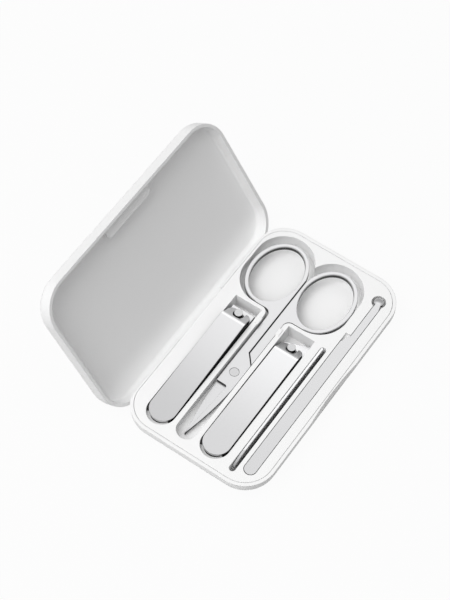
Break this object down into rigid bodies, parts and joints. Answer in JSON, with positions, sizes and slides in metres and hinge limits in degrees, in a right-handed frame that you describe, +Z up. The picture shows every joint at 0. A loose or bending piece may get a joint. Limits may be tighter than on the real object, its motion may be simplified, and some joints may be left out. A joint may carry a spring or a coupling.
{
  "type": "manicure set case",
  "caption": "Flat hinged case, open, with a fitted tray holding a straight nail clipper, a slant nail clipper, scissors, a nail file and an ear pick.",
  "frame": {"origin": "middle of the flat underside of the base, on the case's two middle planes", "axes": "+Z up out of the tray, +X from the hinge side to the opening side, +Y along the case towards the scissor rings"},
  "size_m": [0.1082, 0.117, 0.0614],
  "materials": {
    "shell_plastic": "satin white ABS shell",
    "tray_plastic": "satin white tray",
    "pin_steel": "polished steel",
    "magnet": "nickel-plated magnet",
    "guard_plastic": "black plastic",
    "clipper_steel": "satin stainless steel",
    "scissors_steel": "satin stainless steel",
    "file_steel": "satin stainless steel with a cut face",
    "pick_steel": "satin stainless steel"
  },
  "bodies": {
    "case": {"base_shell": "shell_plastic", "tray": "tray_plastic", "hinge_pin": "pin_steel", "base_magnet": "magnet"},
    "lid": {"lid_shell": "shell_plastic", "magnet_cover": "shell_plastic", "lid_magnet": "magnet"},
    "straight_clipper": {"straight_clipper_lower_jaw": "clipper_steel", "straight_clipper_guard": "guard_plastic", "straight_clipper_pin": "pin_steel", "straight_clipper_rivet": "pin_steel"},
    "straight_clipper_top": {"straight_clipper_upper_jaw": "clipper_steel"},
    "straight_lever": {"straight_clipper_lever": "clipper_steel"},
    "slant_clipper": {"slant_clipper_lower_jaw": "clipper_steel", "slant_clipper_guard": "guard_plastic", "slant_clipper_pin": "pin_steel", "slant_clipper_rivet": "pin_steel"},
    "slant_clipper_top": {"slant_clipper_upper_jaw": "clipper_steel"},
    "slant_lever": {"slant_clipper_lever": "clipper_steel"},
    "scissors_pivot": {"scissors_rivet": "pin_steel"},
    "scissors_top_half": {"scissors_upper_half": "scissors_steel"},
    "scissors_bottom_half": {"scissors_lower_half": "scissors_steel"},
    "file": {"nail_file": "file_steel"},
    "pick": {"ear_pick": "pick_steel"}
  },
  "joints": [
    {"name": "lid_hinge", "type": "hinge", "parent": "case", "child": "lid", "pos_m": [-0.0318, 0, 0.00685], "axis": [0, -1, 0], "range_deg": [-122, 0]},
    {"name": "straight_clipper_lift", "type": "slide", "parent": "case", "child": "straight_clipper", "axis": [0, 0, 1], "range_m": [0, 0.035]},
    {"name": "straight_lever_lift", "type": "hinge", "parent": "straight_clipper", "child": "straight_lever", "pos_m": [-0.01935, 0.007, 0.0107], "axis": [-1, 0, 0], "range_deg": [0, 20]},
    {"name": "straight_jaw_squeeze", "type": "hinge", "parent": "straight_clipper", "child": "straight_clipper_top", "pos_m": [-0.01935, -0.0465, 0.0035], "axis": [-1, 0, 0], "range_deg": [0, 1.12]},
    {"name": "slant_clipper_lift", "type": "slide", "parent": "case", "child": "slant_clipper", "axis": [0, 0, 1], "range_m": [0, 0.035]},
    {"name": "slant_lever_lift", "type": "hinge", "parent": "slant_clipper", "child": "slant_lever", "pos_m": [0.00775, 0.007, 0.0082], "axis": [-1, 0, 0], "range_deg": [0, 15]},
    {"name": "slant_jaw_squeeze", "type": "hinge", "parent": "slant_clipper", "child": "slant_clipper_top", "pos_m": [0.00775, -0.0465, 0.0035], "axis": [-1, 0, 0], "range_deg": [0, 0.85]},
    {"name": "scissors_lift", "type": "slide", "parent": "case", "child": "scissors_pivot", "axis": [0, 0, 1], "range_m": [0, 0.1]},
    {"name": "scissors_top_open", "type": "hinge", "parent": "scissors_pivot", "child": "scissors_top_half", "pos_m": [-0.00575, -0.0146, 0.0069], "axis": [0, 0, 1], "range_deg": [0, 14]},
    {"name": "scissors_bottom_open", "type": "hinge", "parent": "scissors_pivot", "child": "scissors_bottom_half", "pos_m": [-0.00575, -0.0146, 0.0069], "axis": [0, 0, -1], "range_deg": [0, 14]},
    {"name": "file_lift", "type": "slide", "parent": "case", "child": "file", "axis": [0, 0, 1], "range_m": [0, 0.03]},
    {"name": "ear_pick_lift", "type": "slide", "parent": "case", "child": "pick", "axis": [0, 0, 1], "range_m": [0, 0.03]}
  ],
  "couplings": [
    {"joint": "straight_jaw_squeeze", "follows": "straight_lever_lift", "ratio": 0.055},
    {"joint": "slant_jaw_squeeze", "follows": "slant_lever_lift", "ratio": 0.055},
    {"joint": "scissors_top_open", "follows": "scissors_lift", "rad_per_m": 2.44},
    {"joint": "scissors_bottom_open", "follows": "scissors_lift", "rad_per_m": 2.44}
  ]
}
